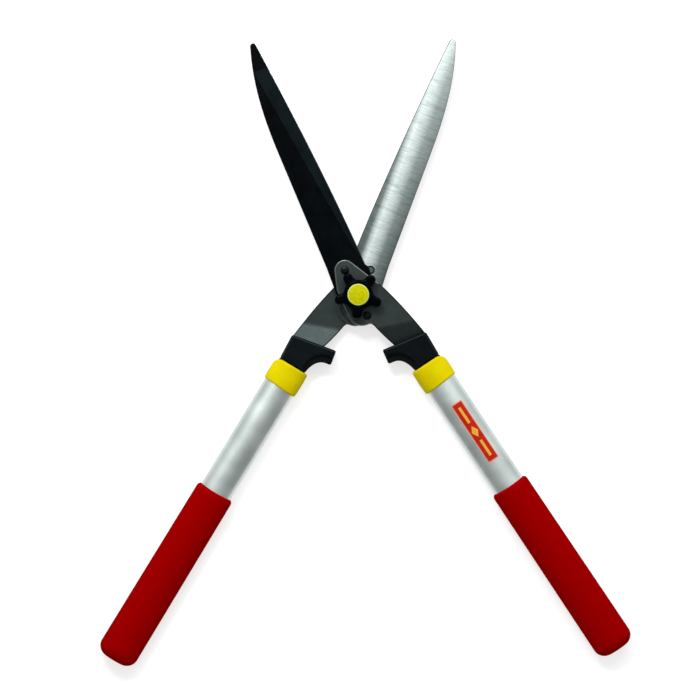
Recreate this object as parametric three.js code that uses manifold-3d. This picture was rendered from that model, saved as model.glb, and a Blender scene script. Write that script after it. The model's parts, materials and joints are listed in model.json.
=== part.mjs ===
// Hedge shears with straight blades, an adjustable pivot and oval tube handles.
//
// Frame, in millimetres: the shears lie on a table at z = 0 with the tension knob up. The origin is on
// the pivot axis, +Y runs along the centre line towards the blade tips, and +X is to the right.
//
// Both halves are the same set of parts. Each is drawn in a half frame of its own: the pivot axis is at
// its origin, +Y runs along the blade, +X points to the cutting edge and z = 0 is the parting plane
// where the two blades slide on each other. The front half is turned to the left by the opening angle,
// and the rear half is that same half turned over.

import * as THREE from 'three';
import { mergeVertices } from 'three/addons/utils/BufferGeometryUtils.js';
import Module from 'manifold-3d';

const wasm = await Module();
wasm.setup();

// ---- Driving dimensions ----------------------------------------------------------------------

const degrees = Math.PI / 180;

const openHalfAngle = 21.65 * degrees; // each blade to the centre line, as the shears lie
const closedHalfAngle = 22.6 * degrees; // each half turns this far in before the bumpers meet
const handleAngle = 10.85 * degrees; // handle axis to blade axis

const touchGap = 0.1; // between plates that lie on each other
const fitGap = 0.3; // round a piece that sits in a pocket cut for it
const runningGap = 0.1; // radial, between pieces that turn on each other

const bladeThickness = 3;
const bladeTipY = 256;
const bladeTipRadius = 3.2;
const bladeHeelY = 24; // where the cutting edge starts
const bladeEdgeX = 17.3; // cutting edge at the heel
const bladeSpineX = -17.4;
const spineChamfer = 0.5;
const edgeThickness = 0.5; // left flat under the ground bevel
const edgeBow = 13; // how far the cutting edge falls back over its bowed length
const edgeBowLength = 216;
const spineCurveY = 145; // the spine is straight up to here
const spineCurveLength = 113;
const spineCurveDepth = 15.9;
const bevelLineX = 11; // the bevel's inner line, where it stands clear of the heel
const bevelLineY = 60;
const bevelLineSlope = 0.118;
const bevelRunOutY = 28;
const bevelRunOutSlope = 0.2;

const hubRadius = 18.6; // rounded heel of the blade
const hubX = -1;
const hubY = -9.8;

const tangThickness = 3;
const upperRivet = new THREE.Vector2(-2.5, 26.2);
const lowerRivet = new THREE.Vector2(0.2, -20.9);
const rivetShankRadius = 3;
const rivetHeadRadius = 4;
const rivetHeadHeight = 1.6;
const rivetSinkDepth = 1.15; // of its countersunk end, in the blade

const tubeWidth = 31.2;
const tubeHeight = 21;
const tubeWall = 1.4;
const gripWidth = 37.2;
const gripHeight = 28;
const gripSwell = 1.6; // how much wider the grip is at its far end
const gripStart = 138; // along the handle axis, from the collar's rim
const gripLength = 185;
const gripEndRound = 11;
const gripMouthRound = 3.5;

const collarLength = 24.6;
const collarWidth = 34.6;
const collarHeight = 25;
const collarRound = 2.6;
const handleStart = new THREE.Vector2(34.8, -83.4); // collar's rim, on the handle axis
const tubeStart = 6; // the tube's end, inside the collar
const tubeEndInset = 14; // from the tube's end to the grip's
const plugStem = 16;
const plugFlange = 2.6;

const ferruleTopY = -56.1;
const ferruleHeight = 19;
const ferruleNeckWidth = 27.2;
const ferruleOuterX = 45.2;
const ferruleRound = 1.8;
const hornDepth = 14.4;
const hornFillet = 13.5;
const ferruleStandOff = 0.2; // between the ferrule's head and the collar's rim
const spigotLength = 34;

const boltRadius = 5;
const boltHeadFlats = 17;
const boltNeckSide = 10;
const boltStandOut = 0.8; // beyond the nut insert
const rearWasherThickness = 1.8;
const rearWasherRadius = 11.5;
const bushRadius = 7;
const thrustWasherThickness = 1.5;
const thrustWasherRadius = 13.2;
const waveWasherRadius = 11.5;
const waveWasherBore = 6.2;
const waveWasherThickness = 0.6;
const waveHeight = 0.45;
const waveCount = 3;

const lobeCount = 5;
const firstLobe = 49 * degrees;
const lobeReach = 18;
const lobeRadius = 4.7;
const valleyPull = 12.8; // how near the axis the curve between two lobes is drawn in
const valleySpread = 17 * degrees;
const knobHubRadius = 14;
const knobHubHeight = 12;
const lobeHeight = 9;
const knobRound = 1.4;
const insertRadius = 7.6;
const insertHeight = 8;
const capRadius = 10.1;
const capThickness = 2.2;
const capDome = 1.6;
const capRecess = 2.4;

const labelLength = 64;
const labelWidth = 11.5;
const labelThickness = 0.25;
const labelCentre = 77.9; // along the handle axis
const labelOffset = 1.5;

const roundSteps = 40; // facets round a full circle
const ovalSteps = 40;
const weldDistance = 1e-4;
const beyond = 20; // a cutting tool this far from the parting plane is clear of every plate
const overrun = 1; // how far a cutting tool runs out of the face that it opens

// ---- Heights worked out from them, from the table up -------------------------------------------

const partingZ = gripHeight / 2;
const bladeInnerZ = touchGap / 2; // these four are in the half frame
const bladeOuterZ = bladeInnerZ + bladeThickness;
const tangInnerZ = bladeOuterZ + touchGap;
const tangOuterZ = tangInnerZ + tangThickness;
const rearWasherTop = partingZ - tangOuterZ - touchGap;
const rearWasherBottom = rearWasherTop - rearWasherThickness;
const boltHeadTop = rearWasherBottom - touchGap;
const thrustWasherBottom = partingZ + tangOuterZ + touchGap;
const waveWasherBottom = thrustWasherBottom + thrustWasherThickness + touchGap;
const knobBottom = waveWasherBottom + waveWasherThickness + 2 * waveHeight + touchGap;
const knobTop = knobBottom + knobHubHeight;
const capBottom = knobTop - capRecess + touchGap;
const insertTop = knobBottom + insertHeight + touchGap;
const tubeEnd = gripStart + gripLength - tubeEndInset; // these two are along the handle axis
const plugEnd = tubeEnd + plugFlange;

// ---- Materials ---------------------------------------------------------------------------------

function finish(color, roughness, metalness) {
  return new THREE.MeshStandardMaterial({ color, roughness, metalness });
}

const blackCoating = () => finish(0x0d1416, 0.4, 0.2);
const groundSteel = () => finish(0xc4c9c9, 0.35, 1);
const satinSteel = () => finish(0x6a7272, 0.45, 1);
const darkSteel = () => finish(0x2b3033, 0.4, 1);
const brightSteel = () => finish(0xa9adad, 0.3, 1);
const brass = () => finish(0xb08a3c, 0.35, 1);
const aluminium = () => finish(0xb8bebf, 0.35, 1);
const blackPlastic = () => finish(0x10181b, 0.5, 0);
const glossBlackPlastic = () => finish(0x06090a, 0.15, 0);
const yellowPlastic = () => finish(0xe0cb08, 0.45, 0);
const greyPlastic = () => finish(0x55585a, 0.6, 0);
const redRubber = () => finish(0x9c0408, 0.8, 0);
const labelFilm = () => finish(0xc23a1c, 0.4, 0);

// ---- Solids ------------------------------------------------------------------------------------

function toSolid(geometry) {
  const plain = geometry.clone();
  plain.deleteAttribute('normal');
  plain.deleteAttribute('uv');
  const merged = mergeVertices(plain, weldDistance);
  const mesh = new wasm.Mesh({
    numProp: 3,
    vertProperties: new Float32Array(merged.attributes.position.array),
    triVerts: new Uint32Array(merged.index.array),
  });
  return new wasm.Manifold(mesh);
}

function toGeometry(solid) {
  const mesh = solid.getMesh();
  const geometry = new THREE.BufferGeometry();
  geometry.setAttribute('position', new THREE.BufferAttribute(mesh.vertProperties, 3));
  geometry.setIndex(new THREE.BufferAttribute(mesh.triVerts, 1));
  geometry.computeVertexNormals();
  return geometry;
}

function cut(geometry, tools) {
  return toGeometry(tools.reduce((solid, tool) => solid.subtract(toSolid(tool)), toSolid(geometry)));
}

function join(...geometries) {
  const [first, ...others] = geometries.map(toSolid);
  return toGeometry(others.reduce((solid, other) => solid.add(other), first));
}

function common(first, second) {
  return toGeometry(toSolid(first).intersect(toSolid(second)));
}

// A plate or bar of the outline's shape, from z = bottom to z = top.
function prism(shape, bottom, top, curveSegments = roundSteps / 2) {
  const geometry = new THREE.ExtrudeGeometry(shape, {
    depth: top - bottom,
    bevelEnabled: false,
    curveSegments,
  });
  return geometry.translate(0, 0, bottom);
}

// The same with its top and bottom edges rounded inside the outline.
function roundedPrism(shape, bottom, top, round, bevelSegments = 2, curveSegments = 8) {
  const geometry = new THREE.ExtrudeGeometry(shape, {
    depth: top - bottom - 2 * round,
    bevelEnabled: true,
    bevelThickness: round,
    bevelSize: round,
    bevelOffset: -round,
    bevelSegments,
    curveSegments,
  });
  return geometry.translate(0, 0, bottom + round);
}

function cylinder(radius, bottom, top, x = 0, y = 0) {
  const geometry = new THREE.CylinderGeometry(radius, radius, top - bottom, roundSteps);
  return geometry.rotateX(Math.PI / 2).translate(x, y, (bottom + top) / 2);
}

// A turned piece on the Z axis; the profile's points are [radius, z] and start and end on the axis.
function turned(points, steps = roundSteps) {
  const profile = points.map(([radius, z]) => new THREE.Vector2(radius, z));
  return new THREE.LatheGeometry(profile, steps).rotateX(Math.PI / 2);
}

function ringPlate(outerRadius, innerRadius, bottom, top) {
  const shape = new THREE.Shape();
  shape.absarc(0, 0, outerRadius, 0, 2 * Math.PI);
  const hole = new THREE.Path();
  hole.absarc(0, 0, innerRadius, 0, 2 * Math.PI, true);
  shape.holes.push(hole);
  return prism(shape, bottom, top);
}

// Straight lines through the points, from the first to the last.
function lines(points) {
  const shape = new THREE.Shape();
  const [first, ...others] = points;
  shape.moveTo(...first);
  others.forEach((point) => shape.lineTo(...point));
  return shape;
}

function ellipse(width, height) {
  const shape = new THREE.Shape();
  shape.absellipse(0, 0, width / 2, height / 2, 0, 2 * Math.PI);
  return shape;
}

// An oval bar along the handle axis (-Y), from distance `from` to distance `to`.
function ovalBar(width, height, from, to) {
  const bar = prism(ellipse(width, height), from, to, ovalSteps / 2);
  return bar.rotateX(Math.PI / 2);
}

// A closed skin over rings of matching points; each ring runs the same way round.
function skin(rings) {
  const size = rings[0].length;
  const positions = rings.flat(2);
  const index = [];
  for (let r = 0; r + 1 < rings.length; r += 1) {
    for (let p = 0; p < size; p += 1) {
      const next = (p + 1) % size;
      const a = r * size + p;
      const b = r * size + next;
      index.push(a, b, b + size, a, b + size, a + size);
    }
  }
  const last = (rings.length - 1) * size;
  for (let p = 1; p + 1 < size; p += 1) {
    index.push(0, p + 1, p, last, last + p, last + p + 1);
  }
  const geometry = new THREE.BufferGeometry();
  geometry.setAttribute('position', new THREE.Float32BufferAttribute(positions, 3));
  geometry.setIndex(index);
  return geometry;
}

function named(name, geometry, material) {
  const mesh = new THREE.Mesh(geometry, material);
  mesh.name = name;
  return mesh;
}

// ---- Blade -------------------------------------------------------------------------------------

// The cutting edge bows gently, and the spine runs straight and then curves in to the tip.
function edgeX(y) {
  const along = Math.max(0, y - bladeHeelY) / edgeBowLength;
  return bladeEdgeX - edgeBow * along ** 1.5;
}

function spineX(y) {
  const along = Math.max(0, y - spineCurveY) / spineCurveLength;
  return bladeSpineX + spineCurveDepth * along ** 2.6;
}

// Where the bevel meets the outer face. It runs out at the heel and crosses to the spine at the tip.
function bevelX(y) {
  const straight = bevelLineX - bevelLineSlope * (y - bevelLineY);
  const runOut = edgeX(y) - edgeThickness - bevelRunOutSlope * Math.max(0, y - bevelRunOutY);
  return Math.max(straight, runOut);
}

function bladeSection(y) {
  const tipCentreY = bladeTipY - bladeTipRadius;
  const tipX = (edgeX(tipCentreY) + spineX(tipCentreY)) / 2;
  const intoTip = Math.max(0, y - tipCentreY);
  const leastHalfWidth = 0.2;
  const tipHalfWidth = Math.sqrt(Math.max(leastHalfWidth ** 2, bladeTipRadius ** 2 - intoTip ** 2));
  const left = intoTip > 0 ? Math.max(spineX(y), tipX - tipHalfWidth) : spineX(y);
  const right = intoTip > 0 ? Math.min(edgeX(y), tipX + tipHalfWidth) : edgeX(y);
  const chamfer = Math.min(spineChamfer, (right - left) / 4);
  const bevelStart = Math.max(bevelX(y), left + chamfer);
  const rise = (bladeThickness - edgeThickness) * (right - bevelStart) / (right - bevelX(y));
  const shoulder = bladeInnerZ + edgeThickness + Math.min(rise, bladeThickness - edgeThickness);
  return [
    [left, y, bladeInnerZ],
    [left, y, shoulder - chamfer],
    [left + chamfer, y, shoulder],
    [bevelStart, y, shoulder],
    [right, y, bladeInnerZ + edgeThickness],
    [right, y, bladeInnerZ],
  ];
}

// The plain lower end, round under the pivot and widening to a corner where the cutting edge starts.
function bladeHeel() {
  const overlap = 10; // with the ground part of the blade
  const cornerStandOut = 1.6;
  const cornerX = hubX + hubRadius + cornerStandOut;
  const cornerY = bladeHeelY - 3;
  const heel = new THREE.Shape();
  heel.moveTo(bladeSpineX, bladeHeelY + overlap);
  heel.absarc(hubX, hubY, hubRadius, Math.PI, 2 * Math.PI);
  heel.lineTo(cornerX, cornerY);
  heel.lineTo(bladeEdgeX, bladeHeelY);
  heel.lineTo(bladeEdgeX - 0.1, bladeHeelY + overlap);
  return prism(heel, bladeInnerZ, bladeOuterZ, 16);
}

// Countersunk and flush in the blade's inner face, with a domed head on the tang plate.
function rivetProfile(grow) {
  const shank = rivetShankRadius + grow;
  const head = rivetHeadRadius + grow;
  const flushEnd = bladeInnerZ + touchGap - grow;
  const headBottom = tangOuterZ + touchGap - grow;
  const dome = (share) => headBottom + rivetHeadHeight * share;
  return turned([
    [0, flushEnd],
    [head, flushEnd],
    [shank, bladeInnerZ + touchGap / 2 + rivetSinkDepth],
    [shank, headBottom],
    [head, headBottom],
    [head * 0.92, dome(0.6)],
    [head * 0.55, dome(1)],
    [0, dome(1) + 2 * grow],
  ], 16);
}

function rivet(at) {
  return rivetProfile(0).translate(at.x, at.y, 0);
}

function pivotHole(isRear) {
  const bottom = bladeInnerZ - overrun;
  const top = tangOuterZ + overrun;
  if (!isRear) {
    return cylinder(bushRadius + runningGap, bottom, top);
  }
  const side = boltNeckSide + 2 * fitGap;
  const hole = new THREE.BoxGeometry(side, side, top - bottom);
  return hole.rotateZ(-openHalfAngle).translate(0, 0, (bottom + top) / 2);
}

function rivetHoles() {
  return [upperRivet, lowerRivet].map((at) => rivetProfile(touchGap).translate(at.x, at.y, 0));
}

// Where the blade's cross-sections stand: closer together where the spine curves, and round the tip.
function bladeStations() {
  const stations = [];
  const longStep = 12;
  const shortStep = 8;
  const tipStart = bladeTipY - bladeTipRadius;
  let y = bladeHeelY + 4;
  while (y < tipStart) {
    stations.push(y);
    y += y < 0.78 * bladeTipY ? longStep : shortStep;
  }
  const tipSteps = 5;
  for (let step = 0; step <= tipSteps; step += 1) {
    stations.push(tipStart + bladeTipRadius * Math.sin((step / tipSteps) * Math.PI / 2));
  }
  return stations;
}

function blade(isRear) {
  const ground = skin(bladeStations().map(bladeSection));
  return cut(join(ground, bladeHeel()), [pivotHole(isRear), ...rivetHoles()]);
}

// ---- Tang plate --------------------------------------------------------------------------------

// The tang lies on the blade's outer face and cranks back to the parting plane before the ferrule.
const crankAngle = -10 * degrees; // the bends lie across the arm, a little lower at its outer side
const crankStart = 35; // from the pivot axis
const crankRun = 21;
const crankBend = 2; // half the length of each of its two bends
const stripReach = 140; // further than any part of the tang is from the pivot axis
const tongueHalfWidth = 8;
const tongueStart = 2; // past the collar's rim, along the handle axis
const tongueEnd = 12;
const tangLobe = 9.9;
const tangSideX = -16.6;
const tangSink = 1; // how far the arm's full width goes into the ferrule
const armInnerX = 13.4; // the arm's inner edge, at the ferrule
const armInset = 1; // of its outer edge from the ferrule's side

function handlePoint(along, side) {
  const x = handleStart.x + along * Math.sin(handleAngle) + side * Math.cos(handleAngle);
  const y = handleStart.y - along * Math.cos(handleAngle) + side * Math.sin(handleAngle);
  return new THREE.Vector2(x, y);
}

// Adds the four corners of the tongue that reaches down inside the handle.
function addTongue(shape, halfWidth, end) {
  const corners = [[tongueStart, -halfWidth], [end, -halfWidth], [end, halfWidth], [tongueStart, halfWidth]];
  for (const [along, side] of corners) {
    const corner = handlePoint(along, side);
    shape.lineTo(corner.x, corner.y);
  }
}

// Anticlockwise: the lobe round the upper rivet, the side by the pivot, the heel's corner, the arm's
// inner edge, the end in the ferrule, and the arm's outer edge back up to the lobe.
function tangOutline() {
  const lobeStart = 28 * degrees;
  const lobeEnd = 168 * degrees;
  const sideTop = 12;
  const heelRadius = 14;
  const heelCentre = new THREE.Vector2(tangSideX + heelRadius, -15);
  const crotch = new THREE.Vector2(1.6, -30.3);
  const armEndY = ferruleTopY - tangSink;
  const shoulder = new THREE.Vector2(24.2, -1.5);
  const shape = new THREE.Shape();
  shape.absarc(upperRivet.x, upperRivet.y, tangLobe, lobeStart, lobeEnd);
  shape.lineTo(tangSideX, sideTop);
  shape.absarc(heelCentre.x, heelCentre.y, heelRadius, Math.PI, 1.5 * Math.PI);
  shape.lineTo(crotch.x - 1.5, crotch.y + 1);
  shape.quadraticCurveTo(crotch.x, crotch.y, crotch.x + 1, crotch.y - 2);
  shape.quadraticCurveTo(7, -45, armInnerX, armEndY);
  addTongue(shape, tongueHalfWidth, tongueEnd);
  shape.lineTo(ferruleOuterX - armInset, armEndY);
  shape.quadraticCurveTo(34.4, -24, shoulder.x, shoulder.y);
  shape.quadraticCurveTo(shoulder.x - 1, shoulder.y + 2.1, shoulder.x - 2.2, shoulder.y + 4.3);
  return shape;
}

// Zero before a bend, rising at one to one after it, and a parabola through it.
function bent(past) {
  const through = THREE.MathUtils.clamp(past, -crankBend, crankBend);
  return (through + crankBend) ** 2 / (4 * crankBend) + Math.max(0, past - crankBend);
}

// Height of the plate's middle, at a distance along the arm.
function plateLevel(along) {
  const fallen = (bent(along - crankStart) - bent(along - crankStart - crankRun)) / crankRun;
  return (tangInnerZ + tangThickness / 2) * (1 - fallen);
}

// A strip as thick as the plate and wider than the arm, which follows the crank.
function crankedStrip(grow = 0) {
  const halfThickness = tangThickness / 2 + grow;
  const bends = [crankStart, crankStart + crankRun];
  const path = [-stripReach, ...bends.flatMap((at) => [at - crankBend, at, at + crankBend]), stripReach];
  const low = path.map((along) => [along, plateLevel(along) - halfThickness]);
  const high = path.map((along) => [along, plateLevel(along) + halfThickness]);
  const strip = prism(lines([...low, ...high.reverse()]), -stripReach, stripReach);
  // Drawn in X and Y, then stood up so that it runs down the arm (-Y) with its height along Z.
  return strip.rotateX(Math.PI / 2).rotateZ(-Math.PI / 2).rotateZ(crankAngle);
}

function tang(isRear) {
  const plate = common(prism(tangOutline(), -beyond, beyond, 8), crankedStrip());
  return cut(plate, [pivotHole(isRear), ...rivetHoles(), pinHole(pinRadius + 2 * touchGap)]);
}

// ---- Ferrule with its bumper horn --------------------------------------------------------------

const pinAlong = 5; // the cross pin, hidden under the collar
const pinRadius = 2;

function pinHole(radius) {
  const at = handlePoint(pinAlong, 0);
  return cylinder(radius, -beyond, beyond, at.x, at.y);
}

function ferruleOutline() {
  const hornAngle = closedHalfAngle - openHalfAngle; // the horn's face is radial from the pivot
  const hornX = (y) => -y * Math.tan(hornAngle);
  const hornBottomY = ferruleTopY - hornDepth;
  const neck = ferruleNeckWidth / 2;
  const corner = ferruleRound + 0.6; // has to be larger than the rounding of the edges
  const neckInner = handlePoint(-ferruleStandOff, -neck);
  const neckOuter = handlePoint(-ferruleStandOff, neck);
  const filletStartX = neckInner.x - hornFillet - 1.2;
  const pull = 0.56 * hornFillet; // makes the curve close to a quarter circle
  const shape = new THREE.Shape();
  shape.moveTo(hornX(ferruleTopY), ferruleTopY);
  shape.lineTo(hornX(hornBottomY), hornBottomY);
  shape.lineTo(filletStartX, hornBottomY);
  shape.bezierCurveTo(
    filletStartX + pull, hornBottomY,
    neckInner.x - 2, neckInner.y + pull,
    neckInner.x, neckInner.y,
  );
  shape.lineTo(neckOuter.x, neckOuter.y);
  shape.absarc(ferruleOuterX - corner, ferruleTopY - corner, corner, 0, 0.5 * Math.PI);
  return shape;
}

function inHandle(geometry) {
  return geometry.rotateZ(handleAngle).translate(handleStart.x, handleStart.y, 0);
}

function ferrule() {
  const halfHeight = ferruleHeight / 2;
  const head = roundedPrism(ferruleOutline(), -halfHeight, halfHeight, ferruleRound);
  const clearance = 2 * (tubeWall + fitGap);
  const spigotWidth = tubeWidth - clearance;
  const spigotHeight = tubeHeight - clearance;
  const spigotStart = -ferruleStandOff - touchGap;
  const spigotEnd = tubeStart + spigotLength;
  const spigot = inHandle(ovalBar(spigotWidth, spigotHeight, spigotStart, spigotEnd));
  const slot = common(prism(slotOutline(), -beyond, beyond), crankedStrip(fitGap));
  return cut(join(head, spigot), [slot, pinHole(pinRadius + touchGap)]);
}

// The pocket that the tang's wide end and its tongue slide into. It is open at the ferrule's top, and
// its sides lean the way that the arm's edges do.
function slotOutline() {
  const clearance = 0.4;
  const mouthY = ferruleTopY + 5;
  const floorY = ferruleTopY - tangSink - fitGap;
  const innerX = armInnerX - clearance;
  const outerX = ferruleOuterX - armInset + clearance;
  const innerLean = 1.5;
  const outerLean = 1;
  const shape = new THREE.Shape();
  shape.moveTo(innerX - innerLean, mouthY);
  shape.lineTo(innerX, floorY);
  addTongue(shape, tongueHalfWidth + fitGap, tongueEnd + fitGap);
  shape.lineTo(outerX, floorY);
  shape.lineTo(outerX - outerLean, mouthY);
  return shape;
}

// ---- Handle ------------------------------------------------------------------------------------

function collar() {
  const outline = ellipse(collarWidth, collarHeight);
  const body = roundedPrism(outline, 0, collarLength, collarRound, 2, ovalSteps / 2);
  const boreWidth = tubeWidth + 2 * fitGap;
  const boreHeight = tubeHeight + 2 * fitGap;
  const bore = ovalBar(boreWidth, boreHeight, -overrun, collarLength + overrun);
  return cut(body.rotateX(Math.PI / 2), [bore]);
}

function tube() {
  const outside = ovalBar(tubeWidth, tubeHeight, tubeStart, tubeEnd);
  const bore = ovalBar(
    tubeWidth - 2 * tubeWall,
    tubeHeight - 2 * tubeWall,
    tubeStart - overrun,
    tubeEnd + overrun,
  );
  return cut(outside, [bore]);
}

function endPlug() {
  const clearance = 2 * (tubeWall + fitGap);
  const stemWidth = tubeWidth - clearance;
  const stemHeight = tubeHeight - clearance;
  const stem = ovalBar(stemWidth, stemHeight, tubeEnd - plugStem, tubeEnd + overrun);
  const flange = ovalBar(tubeWidth, tubeHeight, tubeEnd + touchGap, plugEnd);
  return join(stem, flange);
}

// The grip swells a little towards its rounded, closed end.
function grip() {
  const mouthSteps = 2;
  const endSteps = 4;
  const radius = gripWidth / 2;
  const profile = [[0, 0]];
  for (let step = 0; step <= mouthSteps; step += 1) {
    const turn = (step / mouthSteps) * Math.PI / 2;
    const inset = gripMouthRound * (1 - Math.sin(turn));
    profile.push([radius - inset, gripMouthRound * (1 - Math.cos(turn))]);
  }
  for (let step = 0; step < endSteps; step += 1) {
    const turn = (step / endSteps) * Math.PI / 2;
    const inset = gripEndRound * (1 - Math.cos(turn));
    profile.push([radius - inset, gripLength - gripEndRound * (1 - Math.sin(turn))]);
  }
  profile.push([radius - gripEndRound, gripLength], [0, gripLength]);
  const body = turned(profile, ovalSteps).scale(1, gripHeight / gripWidth, 1);
  const place = body.attributes.position;
  for (let i = 0; i < place.count; i += 1) {
    const along = place.getZ(i) / gripLength;
    place.setX(i, place.getX(i) * (1 + (gripSwell / gripWidth) * along));
  }
  const boreWidth = tubeWidth + 2 * fitGap;
  const boreHeight = tubeHeight + 2 * fitGap;
  const bore = ovalBar(boreWidth, boreHeight, gripStart - overrun, plugEnd + fitGap);
  return cut(body.translate(0, 0, gripStart).rotateX(Math.PI / 2), [bore]);
}

// The pin is as long as the ferrule's spigot is thick, less a little at each end.
function crossPin() {
  const at = handlePoint(pinAlong, 0);
  const halfLength = tubeHeight / 2 - tubeWall - 2 * fitGap;
  return cylinder(pinRadius, -halfLength, halfLength, at.x, at.y);
}

// A printed film that lies over the top of the tube.
function label() {
  const steps = 6;
  const topOfTube = (x) => (tubeHeight / 2) * Math.sqrt(1 - (x / (tubeWidth / 2)) ** 2);
  const under = [];
  const over = [];
  for (let step = 0; step <= steps; step += 1) {
    const x = labelOffset + labelWidth * (step / steps - 0.5);
    const bottom = topOfTube(x) + touchGap;
    under.push([x, bottom]);
    over.unshift([x, bottom + labelThickness]);
  }
  const section = lines([...under, ...over]);
  const film = prism(section, labelCentre - labelLength / 2, labelCentre + labelLength / 2);
  return film.rotateX(Math.PI / 2);
}

// ---- One half of the shears --------------------------------------------------------------------

function half(side) {
  const isRear = side === 'rear';
  const group = new THREE.Group();
  group.rotation.z = openHalfAngle;
  const handle = new THREE.Group();
  handle.position.set(handleStart.x, handleStart.y, 0);
  handle.rotation.z = handleAngle;
  group.add(
    named(`${side}_blade`, blade(isRear), isRear ? groundSteel() : blackCoating()),
    named(`${side}_tang_plate`, tang(isRear), satinSteel()),
    named(`${side}_upper_rivet`, rivet(upperRivet), darkSteel()),
    named(`${side}_lower_rivet`, rivet(lowerRivet), darkSteel()),
    named(`${side}_ferrule`, ferrule(), blackPlastic()),
    named(`${side}_cross_pin`, crossPin(), brightSteel()),
    handle,
  );
  handle.add(
    named(`${side}_collar`, collar(), yellowPlastic()),
    named(`${side}_tube`, tube(), aluminium()),
    named(`${side}_end_plug`, endPlug(), greyPlastic()),
    named(`${side}_grip`, grip(), redRubber()),
  );
  if (!isRear) {
    handle.add(named('handle_label', label(), labelFilm()));
  }
  return group;
}

// ---- Pivot -------------------------------------------------------------------------------------

function hexagon(acrossFlats) {
  const corner = acrossFlats / 2 / Math.cos(Math.PI / 6);
  const corners = [];
  for (let i = 0; i < 6; i += 1) {
    const turn = (i * Math.PI) / 3;
    corners.push([corner * Math.cos(turn), corner * Math.sin(turn)]);
  }
  return lines(corners);
}

function pivotBolt() {
  const head = prism(hexagon(boltHeadFlats), 0, boltHeadTop);
  const overlap = 1; // of the neck and the shank with the head
  const bottom = boltHeadTop - overlap;
  const neckTop = partingZ - 2 * touchGap;
  const neck = new THREE.BoxGeometry(boltNeckSide, boltNeckSide, neckTop - bottom);
  neck.translate(0, 0, (neckTop + bottom) / 2);
  const shank = cylinder(boltRadius, bottom, insertTop + boltStandOut);
  return join(head, neck, shank);
}

function rearWasher() {
  const shape = new THREE.Shape();
  shape.absarc(0, 0, rearWasherRadius, 0, 2 * Math.PI);
  const disc = prism(shape, rearWasherBottom, rearWasherTop);
  const side = boltNeckSide + 2 * fitGap;
  return cut(disc, [new THREE.BoxGeometry(side, side, 2 * beyond)]);
}

// Three gentle waves round the ring keep the knob under tension.
function waveWasher() {
  const bottom = waveWasherBottom + waveHeight;
  const top = bottom + waveWasherThickness;
  const geometry = ringPlate(waveWasherRadius, waveWasherBore, bottom, top);
  const place = geometry.attributes.position;
  for (let i = 0; i < place.count; i += 1) {
    const turn = Math.atan2(place.getY(i), place.getX(i));
    place.setZ(i, place.getZ(i) + waveHeight * Math.cos(waveCount * turn));
  }
  return geometry;
}

// Five round lobes on slim arms, filleted into the hub.
function starOutline() {
  const shape = new THREE.Shape();
  const step = (2 * Math.PI) / lobeCount;
  for (let i = 0; i < lobeCount; i += 1) {
    const turn = firstLobe + i * step;
    const x = lobeReach * Math.cos(turn);
    const y = lobeReach * Math.sin(turn);
    shape.absarc(x, y, lobeRadius, turn - 0.5 * Math.PI, turn + 0.5 * Math.PI);
    const valley = turn + step / 2;
    const next = turn + step;
    const nextStartX = lobeReach * Math.cos(next) + lobeRadius * Math.sin(next);
    const nextStartY = lobeReach * Math.sin(next) - lobeRadius * Math.cos(next);
    shape.bezierCurveTo(
      valleyPull * Math.cos(valley - valleySpread), valleyPull * Math.sin(valley - valleySpread),
      valleyPull * Math.cos(valley + valleySpread), valleyPull * Math.sin(valley + valleySpread),
      nextStartX, nextStartY,
    );
  }
  return shape;
}

function starKnob() {
  const lobeTop = knobTop - 1;
  const star = roundedPrism(starOutline(), lobeTop - lobeHeight, lobeTop, knobRound, 2, 4);
  const hub = turned([
    [0, knobBottom],
    [knobHubRadius - 1, knobBottom],
    [knobHubRadius, knobBottom + 1],
    [knobHubRadius, knobTop - 0.8],
    [knobHubRadius - 0.6, knobTop],
    [0, knobTop],
  ]);
  const insertBore = cylinder(insertRadius + touchGap, knobBottom - overrun, insertTop + 1);
  const capPocket = cylinder(capRadius + touchGap, knobTop - capRecess, knobTop + overrun);
  const boltBore = cylinder(boltRadius + 1, knobBottom, knobTop);
  return cut(join(star, hub), [insertBore, capPocket, boltBore]);
}

function nutInsert() {
  return ringPlate(insertRadius, boltRadius + runningGap, knobBottom + touchGap, insertTop);
}

function knobCap() {
  const steps = 3;
  const chamfer = 0.4;
  const points = [[0, capBottom], [capRadius - chamfer, capBottom], [capRadius, capBottom + chamfer]];
  for (let step = 0; step <= steps; step += 1) {
    const turn = (step / steps) * Math.PI / 2;
    points.push([capRadius * Math.cos(turn), capBottom + capThickness + capDome * Math.sin(turn)]);
  }
  points[points.length - 1][0] = 0;
  return turned(points);
}

function pivot() {
  const bushBottom = partingZ + bladeInnerZ;
  const bushTop = partingZ + tangOuterZ;
  const boltClear = boltRadius + runningGap;
  const group = new THREE.Group();
  group.add(
    named('pivot_bolt', pivotBolt(), brightSteel()),
    named('rear_washer', rearWasher(), brightSteel()),
    named('pivot_bush', ringPlate(bushRadius, boltClear, bushBottom, bushTop), brass()),
    named(
      'thrust_washer',
      ringPlate(
        thrustWasherRadius,
        boltClear,
        thrustWasherBottom,
        thrustWasherBottom + thrustWasherThickness,
      ),
      brightSteel(),
    ),
    named('wave_washer', waveWasher(), darkSteel()),
    named('star_knob', starKnob(), glossBlackPlastic()),
    named('knob_nut_insert', nutInsert(), brass()),
    named('knob_cap', knobCap(), yellowPlastic()),
  );
  return group;
}

// ---- Hedge shears ------------------------------------------------------------------------------

const shears = new THREE.Group();
shears.name = 'hedge_shears';

const frontHalf = half('front');
frontHalf.position.z = partingZ;

const rearHalf = new THREE.Group();
rearHalf.add(half('rear'));
rearHalf.position.z = partingZ;
rearHalf.rotation.y = Math.PI;

shears.add(frontHalf, rearHalf, pivot());

export default shears;
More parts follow.
